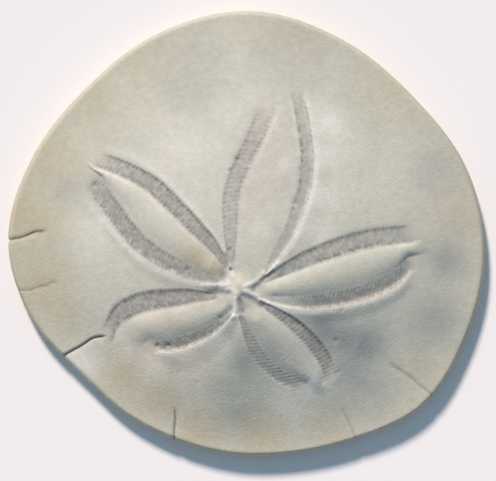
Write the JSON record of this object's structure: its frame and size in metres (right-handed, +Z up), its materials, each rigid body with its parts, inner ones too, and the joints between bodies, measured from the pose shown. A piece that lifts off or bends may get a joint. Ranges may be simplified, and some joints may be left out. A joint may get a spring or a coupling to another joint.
{
  "type": "sand dollar",
  "caption": "Flat pale sand dollar with a low dome, sunken petals around an off-centre star and a rounded margin.",
  "frame": {"origin": "middle of the footprint's box, on the flat underside that the shell rests on", "axes": "+Z up through the dome, +Y towards the front petal, +X across to the front right petal's side"},
  "size_m": [0.0806, 0.0748, 0.0104],
  "materials": {
    "shell": "matte chalky calcite, pale grey-cream with a tan margin and grey pore grooves"
  },
  "bodies": {
    "root": {"shell": "shell"}
  },
  "joints": []
}
